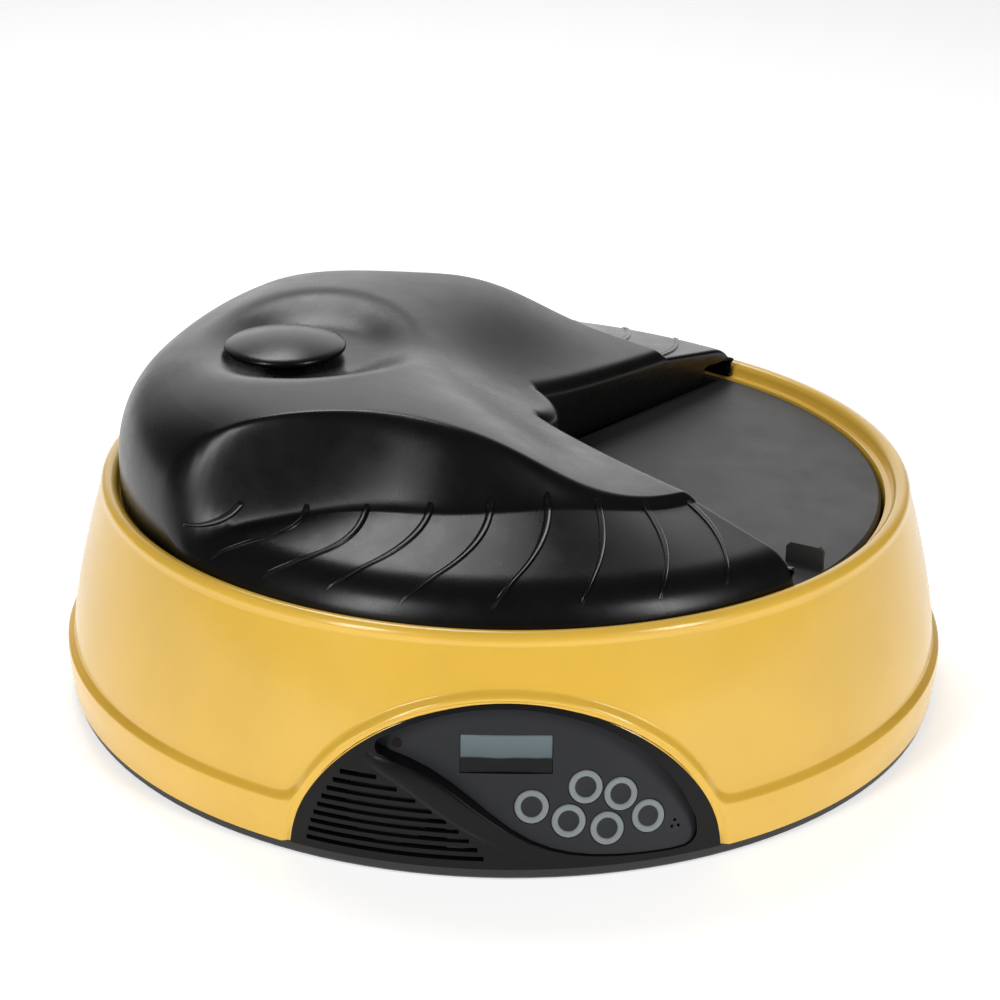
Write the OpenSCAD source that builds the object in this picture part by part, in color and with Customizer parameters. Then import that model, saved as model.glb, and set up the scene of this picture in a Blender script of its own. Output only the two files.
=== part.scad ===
// Automatic pet feeder: a round housing, a turning tray with four food bowls and one closed sector,
// and a domed lid with a single serving opening. Millimetres, +Z up. The origin is the middle of the
// footprint on the floor, the control panel faces -Y and the serving opening faces +X.

/* [Housing] */
// Largest radius of the flange around the foot of the housing
flange_r = 161.2; // [160.8:0.2:161.6]
// Height of the top of the rounded rim
rim_h = 80.2; // [80:0.1:80.8]
// Height of the top of the well floor
well_floor = 33; // [32.8:0.1:33.2]
// Outer radius of the base pan
pan_r = 159.3; // [159:0.1:159.5]

/* [Tray] */
// Outer radius of the tray deck
tray_r = 136.2; // [135:0.1:136.4]
// Height of the top of the tray deck
deck_z = 74.5; // [74.2:0.1:74.6]
// Height of the underside of the food bowls
bowl_foot = 35; // [34.8:0.2:42]
// Width of the closed sector, in degrees
closed_span = 97; // [92:0.5:100]
// Number of food bowls
bowls = 4; // [3:1:5]

/* [Lid] */
// Outer radius of the lid's skirt
lid_r = 139.4; // [139:0.1:139.5]
// Height of the head of the lid
lid_top = 129.2; // [128:0.2:130]
// Half of the angle of the serving opening
open_half = 48.1; // [46:0.1:48.1]
// Radius of the round hub at the middle of the lid
hub_r = 19; // [18:0.5:20]
// Wall thickness of the lid
lid_wall = 2; // [1.8:0.1:2.2]
// Number of facets around the lid's rim
lid_steps = 52; // [40:4:56]

/* [Knob] */
// Distance of the lifting knob from the middle of the lid
knob_x = 79.6; // [79:0.1:80]
// Radius of the lifting knob
knob_r = 21.8; // [20:0.2:22]

/* [Panel] */
// Half of the width of the control panel
panel_a = 69.3; // [68.8:0.1:69.5]
// Height of the arch of the control panel
panel_b = 59.2; // [58.6:0.2:59.4]
// Radius of a push button
button_r = 5.4; // [5:0.1:5.5]
// Travel of a push button
button_travel = 0.6; // [0.4:0.1:0.7]

/* [Drive] */
// Thickness of each gear
gear_t = 2.4; // [2:0.1:2.4]
// Diameter of a battery cell
cell_d = 26.2; // [25:0.1:26.2]

/* [Hidden] */

flange_h = 22;            // top of the flange
wall = 2.5;               // housing wall
well_r = 137.6;           // inside of the well
shell_foot = 4.6;         // lower edge of the upper housing, on the pan's rim
lip_r = 143.3;            // middle of the rounded rim
lip_t = 3;                // radius of the rounded rim
ledge_z = 74.7;           // ledge that carries the lid
floor_t = 2.4;            // thickness of the well floor
skirt_foot = ledge_z + 0.3;
curtain_foot = deck_z + 2;
pan_z = 0.8;              // underside of the pan
pan_in = 3;               // inside face of the pan's bottom
gray = "#6B7075";
black = "#1C1C1E";
dark = "#2A2A2D";
yellow = "#E6B83F";
steel = "#B9BCC0";

// ---- shared curves --------------------------------------------------------------------------

function smooth(t) = let (u = min(1, max(0, t))) u * u * (3 - 2 * u);
// outer radius of the flank above the flange
function flank(z) = flange_r - 2.6 - 12.3 * pow(max(0, z - flange_h) / 54, 1.4);
// outer radius of the panel's bezel
function bezel_skin(z) = z < flange_h ? flange_r - 2 + 0.035 * (flange_h - z) : flank(z) + 0.6;

// extrudes an outline drawn in X and Z forwards from just in front of the well
module on_front(depth = 30) {
  translate([0, -140.2, 0]) rotate([90, 0, 0]) linear_extrude(height = depth) children();
}

// turns a profile of radius and height through the front of the housing
module front_revolve(span = 68) {
  rotate([0, 0, 270 - span / 2]) rotate_extrude(angle = span, $fn = 180) children();
}

// outline of the panel: an arch with half width a and height b, cut level at height low
function dome(a, b, low, n = 36) =
  let (t0 = asin(low / b)) [for (i = [0:n]) let (t = t0 + (180 - 2 * t0) * i / n) [a * cos(t), b * sin(t)]];

// ---- housing --------------------------------------------------------------------------------

post_angles = [20, 75, 105, 160, 215, 325];
post_r = 146;
hang_posts = [[87, 31.2], [10, 64], [38, -14], [-25.5, -25.5]];
plate_z = 16.4;           // underside of the gear plate
plate_t = 1.6;
lip_z = rim_h - lip_t;
flank_top = lip_z - 1;

outer_line = concat(
  [[flange_r - 1, shell_foot], [flange_r - 0.4, 10], [flange_r, 17], [flange_r - 0.6, 20.6],
   [flange_r - 1.9, flange_h - 0.2]],
  [for (i = [0:9]) let (z = flange_h + 0.3 + (flank_top - flange_h - 0.3) * i / 9) [flank(z), z]],
  [for (i = [0:8]) let (a = 180 * i / 8) [lip_r + lip_t * cos(a), lip_z + lip_t * sin(a)]],
  [[lip_r - lip_t - 0.4, ledge_z]]);
inner_line = concat(
  [[well_r, ledge_z], [well_r, well_floor], [8.05, well_floor], [8.05, well_floor - floor_t],
   [well_r + 2.2, well_floor - floor_t], [well_r + 2.2, ledge_z - 2.2], [lip_r - 2.4, ledge_z - 2.2]],
  [for (i = [0:6]) let (z = flank_top - 4 - (flank_top - 4 - flange_h) * i / 6) [flank(z) - wall, z]],
  [[flange_r - 1 - wall, flange_h - 4], [flange_r - 1 - wall, shell_foot]]);

border_zs = [shell_foot + 0.1, flange_h, 34, 46, 56, 64];

module upper_housing() {
  color(yellow) {
    difference() {
      union() {
        rotate_extrude($fn = 360) polygon(concat(outer_line, inner_line));
        // posts that take the case screws, tied to the outside of the well
        for (a = post_angles) rotate([0, 0, a]) {
          translate([post_r, 0, 9]) cylinder(r = 4, h = 34, $fn = 48);
          translate([well_r + 1, -1, 32]) cube([post_r - well_r - 1, 2, 11]);
        }
        // posts that the gear plate hangs from
        for (p = hang_posts) translate([p[0], p[1], plate_z + plate_t])
          cylinder(r = 3.2, h = well_floor - floor_t - plate_z - plate_t + 1, $fn = 32);
      }
      // window for the panel, through the outer wall only
      on_front() polygon(dome(panel_a + 0.25, panel_b + 0.25, 1));
      for (a = post_angles) rotate([0, 0, a]) translate([post_r, 0, 8]) cylinder(r = 1.55, h = 15, $fn = 24);
      for (p = hang_posts) translate([p[0], p[1], plate_z]) cylinder(r = 1.05, h = 11, $fn = 24);
    }
    // raised border that frames the panel
    intersection() {
      front_revolve() polygon(concat(
        [for (z = border_zs) [flank(z) + 1.6, z]],
        [for (i = [len(border_zs) - 1:-1:0]) [flank(border_zs[i]) - 1.2, border_zs[i]]]));
      on_front() difference() {
        polygon(dome(panel_a + 3.2, panel_b + 4.1, shell_foot + 0.1));
        polygon(dome(panel_a + 0.3, panel_b + 0.3, 1));
      }
    }
  }
}

feet = [for (a = [45, 90, 135, 225, 270, 315]) [140 * cos(a), 140 * sin(a)]];
box_in = -40.1;           // inner end of the battery box
box_out = -145.9;         // outer end of the battery box
cell_z = 3.1 + cell_d / 2;
row_y = 13.6;             // middle of a row of cells

module base_pan() {
  color(black) difference() {
    union() {
      rotate_extrude($fn = 360) polygon([
        [0, pan_z], [pan_r - 0.8, pan_z], [pan_r, pan_z + 0.9], [pan_r, shell_foot], [156.5, shell_foot],
        [156.5, 7.4], [154.5, 7.4], [154.5, pan_in], [0, pan_in]]);
      for (a = post_angles) rotate([0, 0, a]) translate([post_r, 0, pan_in - 0.5])
        cylinder(r = 4.2, h = 8.95 - pan_in + 0.5, $fn = 48);
      // frame around the battery door and the walls of the battery box
      translate([-151, -35, pan_z + 0.1]) cube([125, 70, 3.5]);
      translate([box_out - 1.6, -29.8, 4]) cube([box_in - box_out + 3.2, 59.6, 24]);
    }
    for (a = post_angles) rotate([0, 0, a]) translate([post_r, 0, 0]) {
      cylinder(r = 1.75, h = 10, $fn = 24);
      cylinder(r = 3.3, h = 3.4, $fn = 32);
    }
    for (p = feet) translate([p[0], p[1], 0]) cylinder(r = 6.05, h = 2.05, $fn = 48);
    // the door's opening, its side grooves and the way through for the cells
    translate([-147.3, -29.9, 0]) cube([118.6, 59.8, 1.85]);
    translate([-147.3, -31.9, 1.8]) cube([118.6, 63.8, 1.3]);
    translate([box_out + 0.4, -28, 3]) cube([box_in - box_out - 0.8, 56, 2]);
    translate([box_out, -28.2, 4.3]) cube([box_in - box_out, 56.4, 30]);
  }
}

module rubber_feet() {
  color(dark) for (p = feet) translate([p[0], p[1], 0]) cylinder(r = 6, h = 2, $fn = 48);
}

module case_screws() {
  color(steel) for (a = post_angles) rotate([0, 0, a]) translate([post_r, 0, 0]) difference() {
    union() {
      translate([0, 0, 1.4]) cylinder(r = 3, h = 1.95, $fn = 32);
      translate([0, 0, 3]) cylinder(r = 1.5, h = 18, $fn = 24);
    }
    translate([0, 0, 1]) cylinder(r = 1.2, h = 1.5, $fn = 6);
  }
}

// ---- tray -----------------------------------------------------------------------------------

bowl_span = (360 - closed_span) / bowls;
tray_wall = 2;

module food_tray() {
  top = deck_z;
  low = deck_z - tray_wall;
  foot = bowl_foot;
  end_wall = 0.6;         // how far the trough runs past its last bowl, in degrees
  color(gray) difference() {
    union() {
      // deck with its turned-down edge and its hub
      rotate_extrude($fn = 240) polygon([
        [0, foot], [9, foot], [9, low - 4], [14, low], [tray_r - 2, low], [tray_r - 2, 64],
        [tray_r, 64], [tray_r, top - 1], [tray_r - 1, top], [0, top]]);
      // trough that the bowls are sunk into
      rotate([0, 0, closed_span / 2 - end_wall])
        rotate_extrude(angle = 360 - closed_span + 2 * end_wall, $fn = 240) polygon([
          [26.5, low + 0.5], [28.5, foot + 7], [31, foot + 2], [34, foot], [125, foot], [129, foot + 2],
          [131.4, foot + 7], [133.6, low + 0.5]]);
      // ribs that tie the bowls to the hub
      for (i = [0:bowls]) rotate([0, 0, closed_span / 2 + i * bowl_span])
        upright(1.6, [[8, foot + 8], [29.2, foot + 8], [27.6, low + 0.5], [8, low + 0.5]]);
      // upright tab that a hand turns the tray by
      rotate([0, 0, -38.5]) translate([127.3, 0, top - 0.5]) rotate([0, 0, 9.8]) upright(1.6, [
        [-6.6, 0], [6.6, 0], [6.6, 6.2], [5, 7.8], [-5, 7.8], [-6.6, 6.2]]);
    }
    for (i = [0:bowls - 1]) rotate([0, 0, closed_span / 2 + (i + 0.5) * bowl_span]) bowl_space(top, foot + 2);
    // six-sided socket for the drive spindle
    translate([0, 0, 30]) cylinder(r = 5.75, h = 18.2, $fn = 6);
  }
}

// the space inside one bowl: a ring cut to a wedge whose sides leave an even wall between bowls
module bowl_space(top, low) {
  apex = tray_wall / 2 / sin(bowl_span / 2);
  far = 170;
  intersection() {
    rotate([0, 0, -60]) rotate_extrude(angle = 120, $fn = 240) polygon([
      [28.4, top + 1], [30.5, low + 5.6], [32.2, low + 1.4], [34.8, low], [124.4, low],
      [127.8, low + 1.4], [129.5, low + 5.6], [132.1, top + 1]]);
    translate([0, 0, low - 1]) linear_extrude(height = top - low + 3) polygon([
      [apex, 0], [apex + far * cos(bowl_span / 2), far * sin(bowl_span / 2)],
      [apex + far * cos(bowl_span / 2), -far * sin(bowl_span / 2)]]);
  }
}

// a plate of thickness t that stands on edge along X, with its outline in X and Z
module upright(t, outline) {
  rotate([90, 0, 0]) translate([0, 0, -t / 2]) linear_extrude(height = t) polygon(outline);
}

// ---- lid ------------------------------------------------------------------------------------

// height of the dome's skin before it falls to its sides
function crown(x, y) =
  let (mid = -11.4 + 22 * smooth(abs(y) / 85)) 96 + (lid_top - 96) / (1 + exp((x - mid) / 15));
// radius of the crease where the dome's wall starts, and the width of that wall
function crease(t) = 92 - 9.5 * smooth((t - 55) / 45) + 43.5 * pow(max(0, t - 104) / 38, 2.5);
function slope_w(t) = 4 + 16 * smooth((t - 52) / 60);
// height of the lid's outside at radius r and angle t from the middle of the opening
function lid_skin(r, t) =
  let (x = r * cos(t), y = r * sin(t), rho = min(1, r / 139.6),
       h = smooth((t - 116) / 53), p = 9.8 - 4.7 * h,
       fall = 46 * (1 - pow(max(0, 1 - pow(rho, p)), 0.4)),
       head = crown(x, y) - fall * smooth((40 - x) / 60) - 1.5 * pow(y / 80, 2) * smooth((20 - x) / 60),
       g = smooth((t - 50) / 35),
       u = min(1, max(0, (r - lid_r + 12) / 12)),
       wing = 88.6 + 1.6 * g + (0.15 + 0.19 * g) * (130 - r) - 10 * (1 - sqrt(1 - u * u)),
       s = pow(smooth((crease(t) + slope_w(t) - r) / slope_w(t)), 0.9),
       q = sqrt(pow((x + 71) / 38, 2) + pow(y / 47, 2)))
  wing + (head - wing) * s - 8.5 * (1 - smooth((q - 0.5) / 0.62));

// rows of the lid's grid: round the hub, out to the wall's crease, down the wall, and out to the rim
hub_rows = [0, 0.42, 0.74, 1];
dome_rows = 9;
wall_rows = 8;
rim_rows = [0.3, 0.5, 0.66, 0.78, 0.87, 0.94, 1];
n1 = len(hub_rows) - 1;
n2 = n1 + dome_rows + wall_rows + len(rim_rows);
lm = lid_steps;
lk = 20;
ring = lm + lk;
sheet = 1 + n1 * ring + (n2 - n1) * (lm + 1);
function wall_top(t) = min(lid_r - 18, crease(t) - 3);
function wall_foot(t) = min(lid_r - 10, crease(t) + slope_w(t) + 1);
// outer radius of row i at angle t
function row_r(i, t) = let (d = i - n1, w = d - dome_rows, m = w - wall_rows)
  i <= n1 ? hub_rows[i] * hub_r
  : w <= 0 ? hub_r + (wall_top(t) - hub_r) * (1 - pow(1 - d / dome_rows, 1.25))
  : m <= 0 ? wall_top(t) + (wall_foot(t) - wall_top(t)) * w / wall_rows
  : wall_foot(t) + (lid_r - wall_foot(t)) * rim_rows[m - 1];
function fold(t) = let (u = t > 360 ? t - 360 : t) u > 180 ? 360 - u : u;
// the inner sheet is the outer one moved in by the wall
function ring_r(s, i, t) = let (r = row_r(i, t))
  s == 0 ? r : i <= n1 ? r * (hub_r - lid_wall) / hub_r : r - lid_wall;
function even_a(a, j) = j <= lm ? a + j * (360 - 2 * a) / lm : 360 - a + (j - lm) * 2 * a / lk;
function start_a(s, r) = s == 0 ? open_half : open_half + asin(lid_wall / max(r, hub_r - lid_wall));
function steep(r, t) = (lid_skin(r + 0.5, t) - lid_skin(r - 0.5, t));
function sheet_z(s, r, t) = s == 0 ? lid_skin(r, t)
  : lid_skin(r, t) - lid_wall * min(2.4, sqrt(1 + pow(steep(r, t), 2)));
function lid_point(s, i, j) = let (r = ring_r(s, i, fold(even_a(open_half, j))), t = even_a(start_a(s, r), j))
  [r * cos(t), r * sin(t), sheet_z(s, r, fold(t))];
function vid(s, i, j) = s * sheet + (i == 0 ? 0 : i <= n1 ? 1 + (i - 1) * ring + j
  : 1 + n1 * ring + (i - n1 - 1) * (lm + 1) + j);
function sheet_points(s) = concat([lid_point(s, 0, 0)],
  [for (i = [1:n1]) for (j = [0:ring - 1]) lid_point(s, i, j)],
  [for (i = [n1 + 1:n2]) for (j = [0:lm]) lid_point(s, i, j)]);
// the free edge: around the rim, in along one arm, around the hub and out along the other arm
edge = concat([for (j = [0:lm]) [n2, j]], [for (i = [n2 - 1:-1:n1]) [i, lm]],
  [for (k = [1:lk - 1]) [n1, lm + k]], [for (i = [n1:n2 - 1]) [i, 0]]);
ne = len(edge);
// the edge stands on the ledge at the rim, clears the deck elsewhere, and is notched for the tray's tab
function foot_z(i, j) = let (r = row_r(i, open_half))
  i == n2 ? skirt_foot : (j == 0 || j == lm) && r > 119 && r < lid_r - 1.9 ? deck_z + 8.7 : curtain_foot;
function foot_point(s, k) = let (p = lid_point(s, edge[k][0], edge[k][1])) [p[0], p[1], foot_z(edge[k][0], edge[k][1])];
function fid(s, k) = 2 * sheet + s * ne + (k % ne);
function eid(s, k) = let (q = edge[k % ne]) vid(s, q[0], q[1]);
function cell(s, a, b, c, d) = s == 0 ? [[a, b, c], [a, c, d]] : [[a, c, b], [a, d, c]];
function sheet_faces(s) = concat(
  [for (j = [0:ring - 1]) let (k = (j + 1) % ring)
    s == 0 ? [vid(0, 0, 0), vid(0, 1, k), vid(0, 1, j)] : [vid(1, 0, 0), vid(1, 1, j), vid(1, 1, k)]],
  [for (i = [1:n1 - 1]) for (j = [0:ring - 1]) let (k = (j + 1) % ring)
    each cell(s, vid(s, i, j), vid(s, i, k), vid(s, i + 1, k), vid(s, i + 1, j))],
  [for (i = [n1:n2 - 1]) for (j = [0:lm - 1])
    each cell(s, vid(s, i, j), vid(s, i, j + 1), vid(s, i + 1, j + 1), vid(s, i + 1, j))]);
side_faces = [for (k = [0:ne - 1]) each concat(
  cell(0, eid(0, k), eid(0, k + 1), fid(0, k + 1), fid(0, k)),
  cell(0, fid(0, k), fid(0, k + 1), fid(1, k + 1), fid(1, k)),
  cell(0, fid(1, k), fid(1, k + 1), eid(1, k + 1), eid(1, k)))];

module lid() {
  color(black) difference() {
    polyhedron(
      points = concat(sheet_points(0), sheet_points(1),
        [for (k = [0:ne - 1]) foot_point(0, k)], [for (k = [0:ne - 1]) foot_point(1, k)]),
      faces = concat(sheet_faces(0), sheet_faces(1), side_faces), convexity = 6);
    // hole that the knob's spigot passes through
    translate([screw_x, 0, 105]) cylinder(r = 4.05, h = 20, $fn = 32);
  }
}

knob_seat = 119.65;       // foot of the knob's collar, on the floor of the lid's dish
knob_rim = 123.3;         // upper edge of the knob's rim
knob_rise = 3.7;          // rise of the knob's crown above its rim
screw_x = -knob_x;

module lid_knob() {
  k = (knob_r * knob_r + knob_rise * knob_rise) / (2 * knob_rise);
  color(black) translate([screw_x, 0, 0]) difference() {
    rotate_extrude($fn = 120) polygon(concat(
      [[0, 116.5], [3.9, 116.5], [3.9, knob_seat], [7, knob_seat], [7, 121.6], [knob_r - 2.5, 121.6],
       [knob_r - 1.2, 121.2], [knob_r - 0.4, 121.4], [knob_r, 122.2], [knob_r, knob_rim]],
      [for (i = [1:8]) let (r = knob_r * (1 - i / 8)) [r, knob_rim + knob_rise - k + sqrt(k * k - r * r)]]));
    translate([0, 0, 116]) cylinder(r = 1.55, h = 8.5, $fn = 24);
  }
}

module knob_screw() {
  color(steel) translate([screw_x, 0, 0]) difference() {
    union() {
      translate([0, 0, 113.4]) cylinder(r = 3, h = 2, $fn = 32);
      translate([0, 0, 115.3]) cylinder(r = 8, h = 1.15, $fn = 48);
      translate([0, 0, 116]) cylinder(r = 1.5, h = 8, $fn = 24);
    }
    translate([0, 0, 113]) cylinder(r = 1.4, h = 1.5, $fn = 6);
  }
}

// ---- control panel --------------------------------------------------------------------------

lean = 14;                // lean of the button face, in degrees
label_t = 0.6;            // thickness of the label
back_t = 1.4;             // thickness of the bezel behind the label
lcd_at = [-0.1, 40.8];    // azimuth and height of the middle of the display
lamp_at = [-13.3, 42.3];
mic_at = [20, 14.7];
buttons = [[2.9, 24.5], [7.2, 19.6], [11.7, 16.4], [9.3, 30], [13.5, 26.8], [16.7, 18.7]];
board_at = [5, 28];       // azimuth and height of the middle of the main board
board_back = 7;           // distance of the board behind the button face
switch_h = 1.3;           // height of a key switch
proud = 0.5;              // how far a button stands out of the label

// radius of the button face, a cone that leans back
function face(z) = 157.7 - tan(lean) * (z - 12);
function outward(az) = [sin(az) * cos(lean), -cos(az) * cos(lean), sin(lean)];
function on_skin(p) = [face(p[1]) * sin(p[0]), -face(p[1]) * cos(p[0]), p[1]];
board_mid = on_skin(board_at) - board_back * outward(board_at[0]);
// distance along a button's own axis from the button face to the board
function reach(p) = ((on_skin(p) - board_mid) * outward(board_at[0])) / (outward(p[0]) * outward(board_at[0]));

// places children on the button face with +Z pointing out of it
module on_face(p, out = 0) {
  rotate([0, 0, p[0]]) translate([0, -face(p[1]), p[1]]) rotate([90 - lean, 0, 0])
    translate([0, 0, out]) children();
}

// eye-shaped outline of the label, grown by g: an arch above, a soft step below and two round corners
function eye_low(x) = 6.9 + 35.5 / (1 + exp((x + 8.5) / 11.3));
function eye_high(x, g) = (57.7 + g) * sqrt(1 - pow((x + 0.8) / (64 + g), 2));
function arc(x, z, r, from, to) = [for (i = [0:6]) let (a = from + (to - from) * i / 6) [x + r * cos(a), z + r * sin(a)]];
function eye(g = 0) = concat(
  [for (i = [0:22]) let (x = 60.2 + g - (98.2 + g) * i / 22) [x, eye_high(x, g)]],
  arc(-38.3, 43.3, 3.1 + g, 118, 222),
  [for (i = [0:14]) let (x = -36.6 + 88.6 * i / 14) [x, eye_low(x) - g]],
  arc(55.9, 12.2, 4.9 + g, -78, 6));

// everything between two cones parallel to the button face
module face_shell(back, front) {
  front_revolve() polygon([
    [face(3) - back, 3], [face(3) - front, 3], [face(62) - front, 62], [face(62) - back, 62]]);
}

module panel_holes(button_gap) {
  for (p = buttons) on_face(p, -8) cylinder(r = button_r + button_gap, h = 14, $fn = 48);
  on_face(lcd_at, -3) cube([29.2, 12.4, 12], center = true);
  on_face(lamp_at, -8) cylinder(r = 1.65, h = 14, $fn = 24);
  for (a = [90, 210, 330]) on_face(mic_at, -8) rotate([0, 0, a]) translate([1.3, 0, 0]) cylinder(r = 0.55, h = 14, $fn = 16);
}

function slot_z(i) = 33.5 - 3.14 * i;
function slot_left(z) = -64.2 * sqrt(1 - pow(z / 58, 2));
function slot_right(z) = let (d = 33.5 - z) -40.8 + 2.16 * d - 0.0325 * d * d;

module panel_bezel() {
  zs = [shell_foot + 0.1, 13, flange_h, 28, 34, 40, 46, 52, 61];
  color(black) difference() {
    union() {
      intersection() {
        front_revolve() polygon(concat(
          [for (z = zs) [bezel_skin(z), z]], [for (i = [len(zs) - 1:-1:0]) [bezel_skin(zs[i]) - 2, zs[i]]]));
        on_front() polygon(dome(panel_a, panel_b, shell_foot + 0.1));
      }
      // walls and floor of the recess that holds the label
      intersection() {
        front_revolve() polygon(concat(
          [for (z = zs) [bezel_skin(z) - 0.4, z]],
          [[face(61) - label_t - back_t, 61], [face(zs[0]) - label_t - back_t, zs[0]]]));
        on_front() polygon(eye(1.4));
      }
    }
    intersection() {
      front_revolve() polygon([[face(3) - label_t, 3], [176, 3], [176, 62], [face(62) - label_t, 62]]);
      on_front() polygon(eye(0));
    }
    panel_holes(0.3);
    // sound slots in front of the speaker
    for (i = [0:8]) let (z = slot_z(i))
      translate([slot_left(z), -168, z - 0.8]) cube([slot_right(z) - slot_left(z), 30, 1.6]);
  }
}

module panel_label() {
  color(dark) difference() {
    intersection() {
      face_shell(label_t, 0);
      on_front() polygon(eye(-0.2));
    }
    panel_holes(0.3);
  }
}

module lcd_window() {
  color("#6F7F86") on_face(lcd_at, -1.7) cube([28.8, 12, 1.2], center = true);
}

module lcd_module() {
  color("#8C979A") on_face(lcd_at) {
    translate([0, 0, -2.9]) cube([28, 11.2, 0.9], center = true);
    translate([0, 0, -4.2]) cube([34, 15.4, 1.7], center = true);
  }
}

module battery_lamp() {
  color("#7A1B1B") on_face(lamp_at) {
    translate([0, 0, -4.5]) cylinder(r = 1.6, h = 4.6, $fn = 24);
    translate([0, 0, -5.5]) cylinder(r = 2.2, h = 1.1, $fn = 24);
  }
}

module button(i) {
  p = buttons[i];
  gap = button_travel + 0.45;
  deep = max(1.25, reach(p) - switch_h - gap);
  color("#8F989B") on_face(p) {
    translate([0, 0, -1.2]) cylinder(r = button_r, h = 1.2 + proud - 0.3, $fn = 64);
    translate([0, 0, proud - 0.5]) cylinder(r1 = button_r, r2 = button_r - 0.5, h = 0.5, $fn = 64);
    translate([0, 0, -deep]) cylinder(r = 1.6, h = deep - 1, $fn = 24);
  }
}

module button_1() { button(0); }
module button_2() { button(1); }
module button_3() { button(2); }
module button_4() { button(3); }
module button_5() { button(4); }
module button_6() { button(5); }

module main_board() {
  color("#1F5B3A") on_face(board_at, -board_back - 1.2) {
    translate([-32, -18.5, 0]) cube([68, 38.5, 1.2]);
  }
}

module key_switches() {
  color("#26282B") for (p = buttons) translate(on_skin(p) - reach(p) * outward(p[0]))
    rotate([90 - lean, 0, board_at[0]]) {
      translate([-2.4, -2.4, 0]) cube([4.8, 4.8, switch_h - 0.5]);
      cylinder(r = 1.3, h = switch_h, $fn = 24);
    }
}

module microphone() {
  color(steel) on_face(mic_at, -4.6) cylinder(r = 2.8, h = 2.4, $fn = 32);
}

speaker_at = [-14, 22];
speaker_front = 154.8;

module speaker() {
  color(dark) rotate([0, 0, speaker_at[0]]) translate([0, -speaker_front, speaker_at[1]])
    rotate([-90, 0, 0]) {
      cylinder(r = 14, h = 2.2, $fn = 64);
      translate([0, 0, 2]) cylinder(r1 = 13, r2 = 9, h = 2, $fn = 64);
      translate([0, 0, 3.9]) cylinder(r = 9, h = 4, $fn = 48);
    }
}

// ---- batteries ------------------------------------------------------------------------------

cell_l = 48.5;            // length of a cell without its button
row_gap = 4;              // room for the contact spring

module battery_door() {
  color(black) difference() {
    union() {
      translate([-147, -29.6, pan_z + 0.1]) cube([108, 59.2, 2]);
      translate([-147, -31.6, 1.95]) cube([108, 63.2, 0.95]);
    }
    for (i = [0:4]) translate([-52 + 2.4 * i, -11, 0]) cube([1.2, 22, 1.5]);
  }
}

// both rows of cells, the second one turned end for end
module rows() {
  mid = (box_in + box_out) / 2;
  for (a = [0, 180]) translate([mid, 0, 0]) rotate([0, 0, a]) translate([-mid, -row_y, cell_z])
    rotate([0, -90, 0]) children();
}

module battery_cells() {
  color("#3E6E4E") rows() for (i = [0, 1]) translate([0, 0, -box_in + 0.8 + i * (cell_l + 1.5)]) {
    translate([0, 0, 1.4]) cylinder(r = cell_d / 2, h = cell_l, $fn = 64);
    cylinder(r = 2.6, h = 1.5, $fn = 32);
  }
}

// a conical wire spring of the contacts, its coils worked out along a helix
function coil(n, turns, r0, r1, w, h) =
  [for (i = [0:n]) for (k = [0:5]) let (t = i / n, a = 360 * turns * t, r = r0 + (r1 - r0) * t, b = 60 * k)
    [(r + w * cos(b)) * cos(a), (r + w * cos(b)) * sin(a), h * t + w * sin(b)]];

module contact_spring() {
  n = 48;
  polyhedron(points = coil(n, 4, 5.5, 3, 0.4, 3), faces = concat(
    [[for (k = [5:-1:0]) k]],
    [for (i = [0:n - 1]) for (k = [0:5]) each [
      [i * 6 + k, (i + 1) * 6 + (k + 1) % 6, (i + 1) * 6 + k],
      [i * 6 + k, i * 6 + (k + 1) % 6, (i + 1) * 6 + (k + 1) % 6]]],
    [[for (k = [0:5]) n * 6 + k]]));
}

module battery_contacts() {
  far = -box_out;
  color(steel) rows() {
    translate([-7, -7, -box_in + 0.1]) cube([14, 14, 0.5]);
    translate([-7, -7, far - 0.6]) cube([14, 14, 0.5]);
    translate([0, 0, far - 1.02]) rotate([180, 0, 0]) contact_spring();
  }
}

// ---- drive ----------------------------------------------------------------------------------

teeth_small = 12;
teeth_big = 48;
teeth_out = 60;
pressure = 25;            // pressure angle of the teeth
slack = 0.15;             // play cut from each gear's teeth, at the pitch circle
layer_1 = 18.6;           // motor pinion and first gear
layer_2 = 21.8;           // first gear's small wheel and second gear
layer_3 = 25;             // second gear's small wheel and output gear
second_at = 36 * [cos(60), sin(60)];
first_at = second_at + 30 * [cos(30), sin(30)];
motor_at = first_at + 30 * [cos(-30), sin(-30)];
pin_r = 1.5;

function inv(a) = tan(a) * 180 / PI - a;
// half of the angle that a tooth fills at radius r
function half_tooth(n, r) = let (rp = n / 2, rb = rp * cos(pressure), c = min(1, rb / max(r, rb)))
  90 / n - slack / 2 / rp * 180 / PI + inv(pressure) - inv(acos(c));

module wheel(n, turn = 0, bore = 0, bore_fn = 32) {
  rp = n / 2;
  rs = [rp - 1.2, max(rp - 1.1, rp * cos(pressure)), rp - 0.3, rp + 0.35, rp + 0.9];
  flank_pts = [for (r = rs) [r, half_tooth(n, r)]];
  m = len(rs);
  rotate([0, 0, turn]) difference() {
    linear_extrude(height = gear_t) polygon([for (k = [0:n - 1]) each concat(
      [for (i = [0:m - 1]) flank_pts[i][0] * [cos(360 * k / n - flank_pts[i][1]), sin(360 * k / n - flank_pts[i][1])]],
      [for (i = [m - 1:-1:0]) flank_pts[i][0] * [cos(360 * k / n + flank_pts[i][1]), sin(360 * k / n + flank_pts[i][1])]])]);
    if (bore > 0) translate([0, 0, -1]) cylinder(r = bore, h = gear_t + 2, $fn = bore_fn);
  }
}

// turns of each wheel that put a tooth opposite a gap along the line between the two middles
line_2 = 60;
line_1 = 30;
line_m = -30;
function gap_turn(line, n) = line + 180 - 180 / n;

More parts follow.
